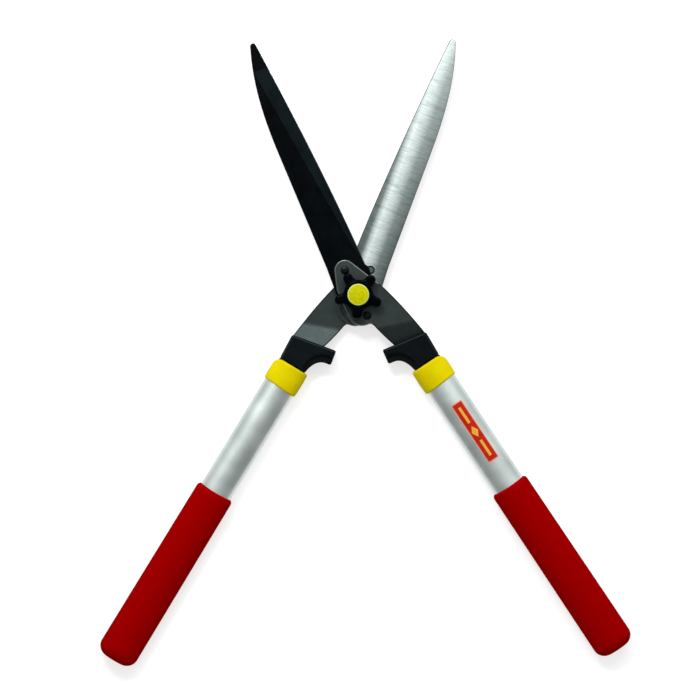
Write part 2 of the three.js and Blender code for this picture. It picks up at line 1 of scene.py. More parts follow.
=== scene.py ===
"""Hedge shears: finished pieces, procedural materials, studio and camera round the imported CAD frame.

Shapes are drawn in millimetres, as in the CAD source, and placed in the row frame in metres. Each half
has its own frame: the pivot axis at the origin, +Y along the blade, +X to the cutting edge, z = 0 where
the two blades slide on each other. Along a handle, x is across, z is up and s is the distance from the
collar's rim towards the grip.
"""

import json
from math import atan2, cos, pi, radians, sin, sqrt, tan

import bmesh
import bpy
from mathutils import Matrix, Vector


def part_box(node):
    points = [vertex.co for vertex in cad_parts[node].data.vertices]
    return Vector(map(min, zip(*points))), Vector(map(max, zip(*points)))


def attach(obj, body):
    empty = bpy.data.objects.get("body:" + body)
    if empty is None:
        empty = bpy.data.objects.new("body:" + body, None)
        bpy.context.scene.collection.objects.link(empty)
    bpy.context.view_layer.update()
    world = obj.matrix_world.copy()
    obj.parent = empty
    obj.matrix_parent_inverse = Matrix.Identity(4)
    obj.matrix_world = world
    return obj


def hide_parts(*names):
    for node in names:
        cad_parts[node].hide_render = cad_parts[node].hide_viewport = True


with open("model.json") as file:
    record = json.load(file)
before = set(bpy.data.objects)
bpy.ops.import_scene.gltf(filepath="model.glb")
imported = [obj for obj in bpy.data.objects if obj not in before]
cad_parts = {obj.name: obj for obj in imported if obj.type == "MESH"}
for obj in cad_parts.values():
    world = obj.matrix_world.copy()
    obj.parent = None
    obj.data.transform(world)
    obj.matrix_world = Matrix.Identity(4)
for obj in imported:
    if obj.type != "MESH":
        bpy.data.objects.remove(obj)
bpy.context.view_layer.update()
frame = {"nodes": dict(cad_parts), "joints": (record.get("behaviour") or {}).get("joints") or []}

MM = 0.001
SIDES = ("front", "rear")

# ---- Dimensions shared with the CAD, in millimetres ----

HANDLE_ANGLE = radians(10.85)
HANDLE_START = Vector((34.8, -83.4, 0))
COLLAR_LENGTH = 24.6
COLLAR_WAVE = 1.6
COLLAR_SHOULDER = 22.0
COLLAR_WIDTH = 34.6
COLLAR_HEIGHT = 25.0
TUBE_WIDTH = 31.2
TUBE_HEIGHT = 21.0
TUBE_WALL = 1.4
TUBE_START = 6.0
GRIP_START = 138.0
GRIP_LENGTH = 185.0
GRIP_WIDTH = 37.2
GRIP_HEIGHT = 28.0
GRIP_SWELL = 1.6
GRIP_END_ROUND = 11.0
GRIP_MOUTH_ROUND = 4.0
SKIN_MARGIN = 0.25  # the grip's fine surface stays this far inside its plain solid
LABEL_LENGTH = 64.0
LABEL_WIDTH = 11.5
LABEL_MIDDLE = 77.9  # along the handle
LABEL_OFFSET = 1.5
TUBE_END = GRIP_START + GRIP_LENGTH - 14.0
PLUG_END = TUBE_END + 2.6
FIT_GAP = 0.3
TOUCH_GAP = 0.1
SLEEVE_BORE = (TUBE_WIDTH + 2 * FIT_GAP, TUBE_HEIGHT + 2 * FIT_GAP)  # of a sleeve on the tube
SPIGOT_WIDTH = TUBE_WIDTH - 2 * (TUBE_WALL + FIT_GAP)  # of a plug in the tube
SPIGOT_HEIGHT = TUBE_HEIGHT - 2 * (TUBE_WALL + FIT_GAP)

BLADE_THICKNESS = 3.0
BLADE_INNER = TOUCH_GAP / 2
BLADE_OUTER = BLADE_INNER + BLADE_THICKNESS
TANG_INNER = BLADE_OUTER + TOUCH_GAP
TANG_THICKNESS = 3.0
TANG_OUTER = TANG_INNER + TANG_THICKNESS
UPPER_RIVET = Vector((-2.5, 26.2, 0))
LOWER_RIVET = Vector((0.2, -20.9, 0))
FERRULE_TOP = -56.1
FERRULE_OUTER_X = 45.2


# ---- Frames ----


def centre(node):
    """Middle of a CAD node's box, in the row frame."""
    low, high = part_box(node)
    return (low + high) / 2


def pivot_point():
    """The blades' pivot, in the parting plane."""
    for joint in frame["joints"]:
        if joint["name"] == "blade_pivot":
            return Vector(joint["pos_m"])
    raise ValueError("the record has no blade_pivot")


def open_angle(side):
    """How far a half is turned from the centre line."""
    along = centre(side + "_tube") - centre(side + "_collar")
    return atan2(abs(along.x), -along.y) - HANDLE_ANGLE


def half_frame(side):
    """From a half's own frame in millimetres to the row frame in metres."""
    turn = Matrix.Rotation(open_angle(side), 4, "Z")
    if side == "rear":
        turn = Matrix.Rotation(pi, 4, "Y") @ turn
    return Matrix.Translation(pivot_point()) @ turn @ Matrix.Scale(MM, 4)


def handle_frame(side):
    """From a handle's own frame in millimetres to the row frame in metres."""
    turn = Matrix.Rotation(HANDLE_ANGLE, 4, "Z")
    return half_frame(side) @ Matrix.Translation(HANDLE_START) @ turn


def handle_point(along, across):
    """A point beside the handle's axis, in the half's own frame."""
    x = HANDLE_START.x + along * sin(HANDLE_ANGLE) + across * cos(HANDLE_ANGLE)
    y = HANDLE_START.y - along * cos(HANDLE_ANGLE) + across * sin(HANDLE_ANGLE)
    return Vector((x, y, 0))


# ---- Curves for outlines ----


def arc(centre_x, centre_y, radius, start, end, steps):
    """Points on an arc from start to end, both included; angles in radians."""
    points = []
    for i in range(steps + 1):
        turn = start + (end - start) * i / steps
        points.append(Vector((centre_x + radius * cos(turn), centre_y + radius * sin(turn), 0)))
    return points


def circle(centre_x, centre_y, radius, steps):
    """Points all the way round a circle."""
    return arc(centre_x, centre_y, radius, 0, 2 * pi * (steps - 1) / steps, steps - 1)


def square(half):
    """Corners of a square round the origin, given half its side."""
    corners = ((-half, -half), (half, -half), (half, half), (-half, half))
    return [Vector((x, y, 0)) for x, y in corners]


def bezier(points, steps):
    """Points on a Bezier curve of any degree, without its first point."""
    out = []
    for i in range(1, steps + 1):
        t = i / steps
        row = [Vector((p[0], p[1], 0)) for p in points]
        while len(row) > 1:
            row = [a.lerp(b, t) for a, b in zip(row, row[1:])]
        out.append(row[0])
    return out


def oval(width, height, steps):
    """Points (x, z) round an oval."""
    points = []
    for i in range(steps):
        turn = 2 * pi * i / steps
        points.append((cos(turn) * width / 2, sin(turn) * height / 2))
    return points


def smooth_step(value):
    """From 0 to 1 without a kink at either end."""
    t = min(max(value, 0.0), 1.0)
    return t * t * (3 - 2 * t)


# ---- Meshes ----


def add_object(name, data):
    added = bpy.data.objects.new(name, data)
    bpy.context.scene.collection.objects.link(added)
    return added


def new_piece(name, points, faces):
    mesh = bpy.data.meshes.new(name)
    mesh.from_pydata([tuple(p) for p in points], [], faces)
    mesh.update()
    return add_object(name, mesh)


def face_outwards(piece):
    mesh = bmesh.new()
    mesh.from_mesh(piece.data)
    bmesh.ops.recalc_face_normals(mesh, faces=mesh.faces)
    mesh.to_mesh(piece.data)
    mesh.free()
    return piece


def loft(name, rings, closed=False):
    """A skin over rings of matching points, with flat ends, or joined end to end if closed."""
    size = len(rings[0])
    points = [p for ring in rings for p in ring]
    faces = []
    last = len(rings) if closed else len(rings) - 1
    for r in range(last):
        base = r * size
        above = (r + 1) % len(rings) * size
        for i in range(size):
            j = (i + 1) % size
            faces.append((base + i, base + j, above + j, above + i))
    if not closed:
        top = (len(rings) - 1) * size
        faces.append(tuple(reversed(range(size))))
        faces.append(tuple(top + i for i in range(size)))
    return face_outwards(new_piece(name, points, faces))


def plate(name, outline, bottom, top):
    """A flat plate of the outline's shape."""
    rings = [[Vector((p.x, p.y, z)) for p in outline] for z in (bottom, top)]
    return loft(name, rings)


def lathe(name, profile, steps=64):
    """A turned piece on the Z axis; the profile's points (radius, z) start and end on the axis."""
    rings = []
    for radius, z in profile[1:-1]:
        rings.append(circle(0, 0, radius, steps))
        for p in rings[-1]:
            p.z = z
    return loft(name, rings)


def ring(name, outer, inner, bottom, top, round_by, steps=96):
    """A flat ring with its four edges rounded."""
    r = round_by
    corners = (
        (outer - r, bottom + r, -0.5),
        (outer - r, top - r, 0.0),
        (inner + r, top - r, 0.5),
        (inner + r, bottom + r, 1.0),
    )
    section = []
    for radius, z, start in corners:
        for step in range(4):
            turn = pi * (start + step / 6)
            section.append((radius + r * cos(turn), z + r * sin(turn)))
    rings = []
    for i in range(steps):
        turn = 2 * pi * i / steps
        rings.append([Vector((q * cos(turn), q * sin(turn), z)) for q, z in section])
    return loft(name, rings, closed=True)


def apply_modifiers(piece):
    view = bpy.context.evaluated_depsgraph_get()
    mesh = bpy.data.meshes.new_from_object(piece.evaluated_get(view))
    piece.modifiers.clear()
    piece.data = mesh
    return piece


def combine(piece, tools, operation):
    """Adds or cuts away other solids, which are then removed."""
    for tool in tools:
        modifier = piece.modifiers.new("combine", "BOOLEAN")
        modifier.operation = operation
        modifier.solver = "EXACT"
        modifier.object = tool
        apply_modifiers(piece)
        bpy.data.objects.remove(tool)
    return piece


def cut(piece, *tools):
    return combine(piece, tools, "DIFFERENCE")


def join(piece, *tools):
    return combine(piece, tools, "UNION")


def soften(piece, width, segments=3, sharper_than=35, clamped=False):
    """Rounds every edge sharper than that many degrees; clamped, it stays clear of nearby edges."""
    modifier = piece.modifiers.new("soften", "BEVEL")
    modifier.width = width
    modifier.segments = segments
    modifier.limit_method = "ANGLE"
    modifier.angle_limit = radians(sharper_than)
    modifier.harden_normals = False
    modifier.use_clamp_overlap = clamped
    return apply_modifiers(piece)


def give(piece, *materials):
    """Replaces a piece's materials; its faces choose among them by number."""
    piece.data.materials.clear()
    for material in materials:
        piece.data.materials.append(material)


def place(piece, matrix, body, slot, sharp=30):
    """Puts a finished piece in the row frame, in place of the CAD node it is named after. A piece
    without a material of its own gets the one that the slot names."""
    if not piece.data.materials:
        give(piece, MATERIALS[slot])
    piece.data.transform(matrix)
    face_outwards(piece)
    for face in piece.data.polygons:
        face.use_smooth = True
    piece.data.set_sharp_from_angle(angle=radians(sharp))
    weighted = piece.modifiers.new("even shading", "WEIGHTED_NORMAL")
    weighted.keep_sharp = True
    weighted.weight = 80
    apply_modifiers(piece)
    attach(piece, body)
    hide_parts(piece.name.removesuffix("_finished"))
    return piece


# ---- Blades ----

BLADE_TIP = 255.95  # just inside the solid's tip
TIP_RADIUS = 3.2
HEEL_Y = 24.0
EDGE_X = 17.3
SPINE_X = -17.4
EDGE_THICKNESS = 0.5
HUB_RADIUS = 18.6
HUB = Vector((-1.0, -9.8, 0))
BARE_EDGE = 0.5  # strip of the bevel that is bare steel
HONED_EDGE = 0.5
SPINE_CORNER = 0.4
EDGE_BOW = 13.0  # how far the edge has bowed back at EDGE_BOW_LENGTH above the heel
EDGE_BOW_LENGTH = 216.0
SPINE_STRAIGHT = 145.0  # the spine is straight up to here
SPINE_CURVE = 15.9  # how far it has curved in at SPINE_CURVE_LENGTH beyond
SPINE_CURVE_LENGTH = 113.0
HEEL_LINE = 6.0  # below this the blade is left as plain grey plate
FLAT_INNER = -0.985  # faces tilted more than this from the parting plane keep their coating


def edge_x(y):
    """The cutting edge, bowed gently back from the heel to the tip."""
    return EDGE_X - EDGE_BOW * (max(0.0, y - HEEL_Y) / EDGE_BOW_LENGTH) ** 1.5


def spine_x(y):
    """The spine, straight at first and then curved in to the tip."""
    return SPINE_X + SPINE_CURVE * (max(0.0, y - SPINE_STRAIGHT) / SPINE_CURVE_LENGTH) ** 2.6


def bevel_x(y):
    """Where the ground bevel meets the outer face. It runs out at the heel."""
    straight = 11 - 0.118 * (y - 60)
    run_out = edge_x(y) - EDGE_THICKNESS - 0.2 * max(0.0, y - 28)
    return max(straight, run_out)


def heel_sides(y):
    """Left and right sides of the plain end below the cutting edge."""
    if y < HUB.y:
        half = sqrt(max(0.0, HUB_RADIUS**2 - (y - HUB.y) ** 2))
        return HUB.x - half, HUB.x + half
    up = (y - HUB.y) / (HEEL_Y + 10 - HUB.y)
    left = (HUB.x - HUB_RADIUS) * (1 - up) + SPINE_X * up
    corner_x = HUB.x + HUB_RADIUS + 1.6
    corner_y = HEEL_Y - 3
    if y < corner_y:
        right = HUB.x + HUB_RADIUS + 1.6 * (y - HUB.y) / (corner_y - HUB.y)
    else:
        right = corner_x + (EDGE_X - corner_x) * (y - corner_y) / 3
    return left, right


def blade_section(y):
    """Points round the blade at one height, from the spine's inner corner to the edge's."""
    ground = y > HEEL_Y
    left, right = (spine_x(y), edge_x(y)) if ground else heel_sides(y)
    if ground and y < HEEL_Y + 10:
        left = heel_sides(y)[0]
    into_tip = y - (BLADE_TIP - TIP_RADIUS)
    if into_tip > 0:
        tip_start = BLADE_TIP - TIP_RADIUS
        middle = (edge_x(tip_start) + spine_x(tip_start)) / 2
        half = sqrt(max(0.04, TIP_RADIUS**2 - into_tip**2))
        left = max(left, middle - half)
        right = min(right, middle + half)
    width = right - left
    chamfer = min(0.45, width / 5)
    slope_start = max(bevel_x(y), left + 2 * chamfer) if ground else right - chamfer
    slope_start = min(slope_start, right - min(chamfer, width / 5))
    full = BLADE_THICKNESS - EDGE_THICKNESS
    rise = full * (right - slope_start) / max(0.01, right - bevel_x(y)) if ground else full
    top = BLADE_INNER + EDGE_THICKNESS + min(rise, full)
    edge_top = BLADE_INNER + EDGE_THICKNESS if ground else top - chamfer
    inner = BLADE_INNER
    bare = min(BARE_EDGE, (right - slope_start) / 2)
    slope = (top - edge_top) / (right - slope_start)
    honed = min(HONED_EDGE, width / 6)
    corner = min(SPINE_CORNER, width / 6)
    corners = [
        (left + corner, inner),
        (left, inner + corner),
        (left, top - chamfer),
        (left + chamfer * 0.3, top - chamfer * 0.3),
        (left + chamfer, top),
        (slope_start - 0.2 * chamfer, top),
        (slope_start + 0.2 * chamfer, top - 0.08 * chamfer),
        (right - bare, edge_top + slope * bare),
        (right, edge_top),
        (right, inner + 0.12),
        (right - honed, inner),
    ]
    return [Vector((x, y, z)) for x, z in corners]


def blade_heights():
    """Heights of the sections: close round the hub, the heel's corner and the tip."""
    heights = [HUB.y - HUB_RADIUS * cos(pi * i / 64) for i in range(1, 32)]
    heights += [HUB.y + i * 2.5 for i in range(12)]
    heights += [HEEL_Y - 3, HEEL_Y - 1.5, HEEL_Y - 0.05, HEEL_Y + 0.05]
    y = HEEL_Y + 2
    while y < BLADE_TIP - TIP_RADIUS:
        heights.append(y)
        y += 3
    for i in range(13):
        heights.append(BLADE_TIP - TIP_RADIUS * (1 - sin(pi * i / 24)))
    return sorted(set(heights))


RIVET_SHANK = 3.0
RIVET_HEAD = 4.0
RIVET_BRIGHT = 2.7
RIVET_CHAMFER = 0.12
RIVET_RIM = 0.35  # height of the flush end's straight side
RIVET_CONE = 1.2  # height at which its cone has narrowed to the shank
BUSH_HOLE_RADIUS = 7.1
NECK_HOLE_HALF = 5.3


def rivet_profile(grow):
    """A rivet, flush at its lower end and domed at the upper; grown, it is the hole that takes it."""
    shank = RIVET_SHANK + grow
    head = RIVET_HEAD + grow
    bottom = BLADE_INNER + TOUCH_GAP - grow
    seat = TANG_OUTER + TOUCH_GAP - grow
    return [
        (0, bottom),
        (RIVET_BRIGHT, bottom),
        (head, bottom + RIVET_CHAMFER if grow == 0 else bottom),
        (head, BLADE_INNER + RIVET_RIM),
        (shank, BLADE_INNER + RIVET_CONE),
        (shank, seat),
        (head * 0.97, seat),
        (head, seat + 0.25),
        (head * 0.98, seat + 0.6),
        (head * 0.9, seat + 1.0),
        (head * 0.74, seat + 1.35),
        (head * 0.45, seat + 1.55),
        (head * 0.15, seat + 1.6 + 2 * grow),
        (0, seat + 1.6 + 2 * grow),
    ]


def rivet_holes():
    holes = []
    for at in (UPPER_RIVET, LOWER_RIVET):
        hole = lathe("hole", rivet_profile(TOUCH_GAP), 48)
        hole.data.transform(Matrix.Translation(at))
        holes.append(hole)
    return holes


def pivot_hole(side):
    """Round for the bush in the front half, square for the bolt's neck in the rear one."""
    bottom = BLADE_INNER - 1
    top = TANG_OUTER + 1
    if side == "front":
        return plate("hole", circle(0, 0, BUSH_HOLE_RADIUS, 48), bottom, top)
    hole = plate("hole", square(NECK_HOLE_HALF), bottom, top)
    hole.data.transform(Matrix.Rotation(-open_angle(side), 4, "Z"))
    return hole


def make_blade(side):
    blade = loft(side + "_blade_finished", [blade_section(y) for y in blade_heights()])
    cut(blade, pivot_hole(side), *rivet_holes())
    return place(blade, half_frame(side), side + "_half", "black_coating", 12)


def make_rivet(side, which, at):
    rivet = lathe(f"{side}_{which}_rivet_finished", rivet_profile(0), 64)
    rivet.data.transform(Matrix.Translation(at))
    return place(rivet, half_frame(side), side + "_half", "dark_steel")


# ---- Tang plates ----

CRANK_ANGLE = radians(-10)
CRANK_START = 35.0
CRANK_RUN = 21.0
CRANK_BEND = 2.0
TONGUE_HALF_WIDTH = 8.0
TONGUE_START = 2.0
TONGUE_END = 12.0
TANG_SIDE_X = -16.6
ARM_INNER_X = 13.4
ARM_INSET = 1.0
TANG_LOBE = 9.9
TANG_SINK = 1.0
TANG_ROUND = 1.1
CROSS_PIN_ALONG = 5.0
CROSS_PIN_HOLE = 2.1
RIM_END_X = 15.0
RIM_END_Y = -30.0


def bent(past):
    """Zero before a bend, rising at one to one after it, and a parabola through it."""
    through = min(max(past, -CRANK_BEND), CRANK_BEND)
    return (through + CRANK_BEND) ** 2 / (4 * CRANK_BEND) + max(0.0, past - CRANK_BEND)


def along_crank(x, y):
    return x * sin(CRANK_ANGLE) - y * cos(CRANK_ANGLE)


def plate_drop(x, y):
    """How far the tang has cranked back towards the parting plane at a point."""
    along = along_crank(x, y)
    share = (bent(along - CRANK_START) - bent(along - CRANK_START - CRANK_RUN)) / CRANK_RUN
    return (TANG_INNER + TANG_THICKNESS / 2) * share


def tongue(half_width, end):
    """Corners of the tang's narrow end, which lies along the handle."""
    start = TONGUE_START
    corners = ((start, -half_width), (end, -half_width), (end, half_width), (start, half_width))
    return [handle_point(along, across) for along, across in corners]


def tang_outline():
    """Anticlockwise from the lobe round the upper rivet."""
    end_y = FERRULE_TOP - TANG_SINK
    outer_x = FERRULE_OUTER_X - ARM_INSET
    points = arc(UPPER_RIVET.x, UPPER_RIVET.y, TANG_LOBE, radians(28), radians(168), 40)
    points.append(Vector((TANG_SIDE_X, 12, 0)))
    points += arc(TANG_SIDE_X + 14, -15, 14, pi, 1.5 * pi, 24)
    points.append(Vector((0.1, -29.3, 0)))
    points += bezier([(0.1, -29.3), (1.6, -30.3), (2.6, -32.3)], 8)
    points += bezier([(2.6, -32.3), (7, -45), (ARM_INNER_X, end_y)], 16)
    points += tongue(TONGUE_HALF_WIDTH, TONGUE_END)
    points.append(Vector((outer_x, end_y, 0)))
    points += bezier([(outer_x, end_y), (34.4, -24), (24.2, -1.5)], 24)
    points += bezier([(24.2, -1.5), (23.2, 0.6), (22, 2.8)], 6)
    return points


def follow_crank(piece):
    """Slices a flat plate across the crank's bends and moves its points down along the crank."""
    mesh = bmesh.new()
    mesh.from_mesh(piece.data)
    normal = Vector((sin(CRANK_ANGLE), -cos(CRANK_ANGLE), 0))
    for bend in (CRANK_START, CRANK_START + CRANK_RUN):
        for step in range(-4, 5):
            everything = list(mesh.verts) + list(mesh.edges) + list(mesh.faces)
            at = normal * (bend + CRANK_BEND * step / 4)
            bmesh.ops.bisect_plane(mesh, geom=everything, plane_co=at, plane_no=normal, dist=1e-5)
    for vertex in mesh.verts:
        vertex.co.z -= plate_drop(vertex.co.x, vertex.co.y)
    mesh.to_mesh(piece.data)
    mesh.free()
    return piece


def pin_hole():
    """The cross pin's hole, through ferrule and tongue alike."""
    at = handle_point(CROSS_PIN_ALONG, 0)
    return plate("hole", circle(at.x, at.y, CROSS_PIN_HOLE, 32), -20, 20)


def edge_material(slope, at):
    """Which of the tang's materials a face gets: plain, a painted highlight on the rounded rim round the
    lobe, painted shade on the rounded edges along the arm.
    """
    if not 0.1 < slope < 0.99:
        return 0
    return 1 if at.x < RIM_END_X and at.y > RIM_END_Y else 2


def make_tang(side):
    """The rounded edges get painted light, a painted highlight round the lobe and painted shade along the
    arm, picked while the plate is still flat and whole.
    """
    tang = plate(side + "_tang_plate_finished", tang_outline(), TANG_INNER, TANG_OUTER)
    soften(tang, TANG_ROUND)
    give(tang, MATERIALS["satin_steel"], MATERIALS["rim_steel"], MATERIALS["dark_steel"])
    for face in tang.data.polygons:
        # painted highlight on the lobe's rounded rim, painted shade on the arm's rounded edges
        face.material_index = edge_material(abs(face.normal.z), face.center)
    cut(tang, pivot_hole(side), pin_hole(), *rivet_holes())
    follow_crank(tang)
    return place(tang, half_frame(side), side + "_half", "satin_steel")


# ---- Ferrules ----

FERRULE_HALF_HEIGHT = 9.5
FERRULE_ROUND = 1.8
NECK_HALF_WIDTH = 13.6
HORN_BOTTOM = FERRULE_TOP - 14.4
HORN_LEAN = radians(0.95)  # of its end wall, which faces the other horn's when closed
HORN_FILLET = 13.5
LEDGE_WIDTH = 7.0
LEDGE_HALF_HEIGHT = 5.8


def ferrule_outline(ledge):
    """The ferrule seen from above; a ledge keeps its raised body back from the horn's concave side."""
    horn = -tan(HORN_LEAN)
    inner = handle_point(-0.2, -NECK_HALF_WIDTH)
    outer = handle_point(-0.2, NECK_HALF_WIDTH)
    bottom = HORN_BOTTOM + ledge
    neck_x = inner.x + 0.35 * ledge
    start_x = inner.x - HORN_FILLET - 1.2
    pull = 0.56 * HORN_FILLET
    points = [Vector((horn * FERRULE_TOP, FERRULE_TOP, 0)), Vector((horn * bottom, bottom, 0))]
    points.append(Vector((start_x, bottom, 0)))
    points += bezier(
        [
            (start_x, bottom),
            (start_x + pull + 0.4 * ledge, bottom),
            (neck_x - 2 + 0.6 * ledge, inner.y + pull + 0.5 * ledge),
            (neck_x, inner.y + 0.1 * ledge),
        ],
        24,
    )
    points.append(outer)
    corner = FERRULE_ROUND + 0.6
    points += arc(FERRULE_OUTER_X - corner, FERRULE_TOP - corner, corner, 0, 0.5 * pi, 8)
    return points


def oval_bar(name, width, height, start, end):
    """An oval bar along the handle, in the half's own frame."""
    rings = [[Vector((x, -s, z)) for x, z in oval(width, height, 64)] for s in (start, end)]
    bar = loft(name, rings)
    bar.data.transform(Matrix.Translation(HANDLE_START) @ Matrix.Rotation(HANDLE_ANGLE, 4, "Z"))
    return bar


def tang_slot():
    """The pocket for the tang's wide end and its tongue."""
    clearance = 0.4
    above = FERRULE_TOP + 5
    floor = FERRULE_TOP - TANG_SINK - FIT_GAP
    inner_x = ARM_INNER_X - clearance
    outer_x = FERRULE_OUTER_X - ARM_INSET + clearance
    points = [Vector((inner_x - 1.5, above, 0)), Vector((inner_x, floor, 0))]
    points += tongue(TONGUE_HALF_WIDTH + FIT_GAP, TONGUE_END + FIT_GAP)
    points += [Vector((outer_x, floor, 0)), Vector((outer_x - 1, above, 0))]
    slot = plate("slot", points, TANG_INNER - FIT_GAP, TANG_OUTER + FIT_GAP)
    return follow_crank(slot)


def make_ferrule(side):
    """A painted highlight: a thin lighter line runs along the start of the body's rounded edge, on its
    top and outer side.
    """
    ferrule = plate(side + "_ferrule_finished", ferrule_outline(0), -LEDGE_HALF_HEIGHT, LEDGE_HALF_HEIGHT)
    soften(ferrule, 1.6, 4)
    body = plate("body", ferrule_outline(LEDGE_WIDTH), -FERRULE_HALF_HEIGHT, FERRULE_HALF_HEIGHT)
    soften(body, FERRULE_ROUND, 5)
    for piece in (ferrule, body):
        give(piece, MATERIALS["black_plastic"], MATERIALS["edge_plastic"])
    # painted highlight along the start of the rounded edge, on the top and outer side only
    for face in body.data.polygons:
        starts_rounding = 0.95 < abs(face.normal.z) < 0.999
        face.material_index = 1 if starts_rounding and face.normal.x + face.normal.y > 0 else 0
    spigot = oval_bar("spigot", SPIGOT_WIDTH, SPIGOT_HEIGHT, -0.3, TUBE_START + 34)
    join(ferrule, body, spigot)
    cut(ferrule, tang_slot(), pin_hole())
    return place(ferrule, half_frame(side), side + "_half", "black_plastic")


# ---- Handles ----

RIM_START = 20  # degrees into a sleeve's rounded rim at which its flat end meets it
COLLAR_TOP_ROUND = 2.4
COLLAR_FOOT_ROUND = 2.0
COLLAR_BULGE = 0.6
LABEL_THICKNESS = 0.25
LABEL_CORNER = 1.2


def oval_rings(sections):
    """Rings of points along the handle; each section is (s, width, height)."""
    rings = []
    for s, width, height in sections:
        rings.append([Vector((x, -s, z)) for x, z in oval(width, height, 128)])
    return rings


def rim_sections(width, height, radius, steps=8):
    """Sections round the rim of a sleeve's end, from its flat end to its side."""
    sections = []
    for i in range(steps + 1):
        turn = radians(RIM_START + (90 - RIM_START) * i / steps)
        inset = 2 * radius * (1 - sin(turn))
        sections.append((radius * (1 - cos(turn)), width - inset, height - inset))
    return sections


def make_collar(side):
    """A bulged sleeve: its outer shoulder is well rounded and its lower rim waves a little."""
    width = COLLAR_WIDTH - COLLAR_BULGE
    height = COLLAR_HEIGHT - COLLAR_BULGE
    top = rim_sections(width, height, COLLAR_TOP_ROUND)
    sides = []
    for i in range(1, 12):
        share = i / 12
        bulge = COLLAR_BULGE * sin(pi * share)
        s = COLLAR_TOP_ROUND + (COLLAR_LENGTH - COLLAR_TOP_ROUND - COLLAR_FOOT_ROUND) * share
        sides.append((s, width + bulge, height + bulge))
    foot = rim_sections(width, height, COLLAR_FOOT_ROUND)
    foot = [(COLLAR_LENGTH - s, w, h) for s, w, h in reversed(foot)]
    bore = [(COLLAR_LENGTH - 0.4, *SLEEVE_BORE), (0.4, *SLEEVE_BORE)]
    rings = oval_rings(top + sides + foot + bore)
    for loop in rings:
        for p in loop:
            across = 2 * p.x / COLLAR_WIDTH
            near_foot = smooth_step((-p.y - 12) / (COLLAR_LENGTH - 12))
            near_top = smooth_step(1 + p.y / 12)
            p.y += COLLAR_WAVE * near_foot * (1 + sin(pi * across / 2)) / 2
            p.y -= COLLAR_SHOULDER * near_top * max(0.0, across - 0.55) ** 2
    collar = loft(side + "_collar_finished", rings, closed=True)
    return place(collar, handle_frame(side), side + "_half", "yellow_plastic")


def make_tube(side):
    inside_width = TUBE_WIDTH - 2 * TUBE_WALL
    inside_height = TUBE_HEIGHT - 2 * TUBE_WALL
    sections = [
        (TUBE_START + 0.2, TUBE_WIDTH - 0.4, TUBE_HEIGHT - 0.4),
        (TUBE_START + 0.4, TUBE_WIDTH, TUBE_HEIGHT),
        (TUBE_END - 0.4, TUBE_WIDTH, TUBE_HEIGHT),
        (TUBE_END - 0.2, TUBE_WIDTH - 0.4, TUBE_HEIGHT - 0.4),
        (TUBE_END, inside_width + 0.4, inside_height + 0.4),
        (TUBE_END - 0.2, inside_width, inside_height),
        (TUBE_START + 0.2, inside_width, inside_height),
        (TUBE_START, inside_width + 0.4, inside_height + 0.4),
    ]
    tube = loft(side + "_tube_finished", oval_rings(sections), closed=True)
    turn = open_angle(side) + HANDLE_ANGLE
    give(tube, aluminium(side + "_aluminium", turn if side == "rear" else -turn))
    return place(tube, handle_frame(side), side + "_half", "aluminium")


def make_grip(side):
    """A thick sleeve with a closed, rounded end; its mouth dips slightly where it meets the tube."""
    end = GRIP_START + GRIP_LENGTH - SKIN_MARGIN
    width = GRIP_WIDTH - SKIN_MARGIN
    height = GRIP_HEIGHT - SKIN_MARGIN
    mouth = rim_sections(width, height, GRIP_MOUTH_ROUND, 10)
    sections = [(PLUG_END + FIT_GAP, 0.5, 0.5), (PLUG_END + FIT_GAP, *SLEEVE_BORE)]
    sections.append((GRIP_START + 0.8, *SLEEVE_BORE))
    sections += [(GRIP_START + s, w, h) for s, w, h in mouth]
    straight = GRIP_LENGTH - GRIP_MOUTH_ROUND - GRIP_END_ROUND
    for i in range(1, 40):
        sections.append((GRIP_START + GRIP_MOUTH_ROUND + straight * i / 40, width, height))
    for i in range(17):
        turn = pi / 2 * i / 16
        inset = 2 * GRIP_END_ROUND * (1 - cos(turn))
        s = end - GRIP_END_ROUND * (1 - sin(turn))
        sections.append((s, width - inset, height - inset))
    sections.append((end, 0.5, 0.3))
    rings = oval_rings(sections)
    for loop in rings[3:]:
        for p in loop:
            along = (-p.y - GRIP_START) / GRIP_LENGTH
            p.x *= 1 + GRIP_SWELL / GRIP_WIDTH * along
            near_mouth = 1 - smooth_step(along * 9)
            p.y -= 0.2 * near_mouth * cos(2 * pi * p.x / GRIP_WIDTH)
    grip = loft(side + "_grip_finished", rings)
    return place(grip, handle_frame(side), side + "_half", "red_rubber")


def make_end_plug(side):
    """Its stem fits the tube and its flange covers the tube's rim."""
    start = TUBE_END - 16
    sections = [
        (start, SPIGOT_WIDTH - 3, SPIGOT_HEIGHT - 3),
        (start + 1.5, SPIGOT_WIDTH - 0.6, SPIGOT_HEIGHT - 0.6),
        (start + 3, SPIGOT_WIDTH, SPIGOT_HEIGHT),
        (TUBE_END + TOUCH_GAP, SPIGOT_WIDTH, SPIGOT_HEIGHT),
        (TUBE_END + TOUCH_GAP, TUBE_WIDTH - 0.6, TUBE_HEIGHT - 0.6),
        (TUBE_END + TOUCH_GAP + 0.3, TUBE_WIDTH, TUBE_HEIGHT),
        (PLUG_END - 0.8, TUBE_WIDTH, TUBE_HEIGHT),
        (PLUG_END, TUBE_WIDTH - 1.6, TUBE_HEIGHT - 1.6),
    ]
    plug = loft(side + "_end_plug_finished", oval_rings(sections))
    return place(plug, handle_frame(side), side + "_half", "grey_plastic")


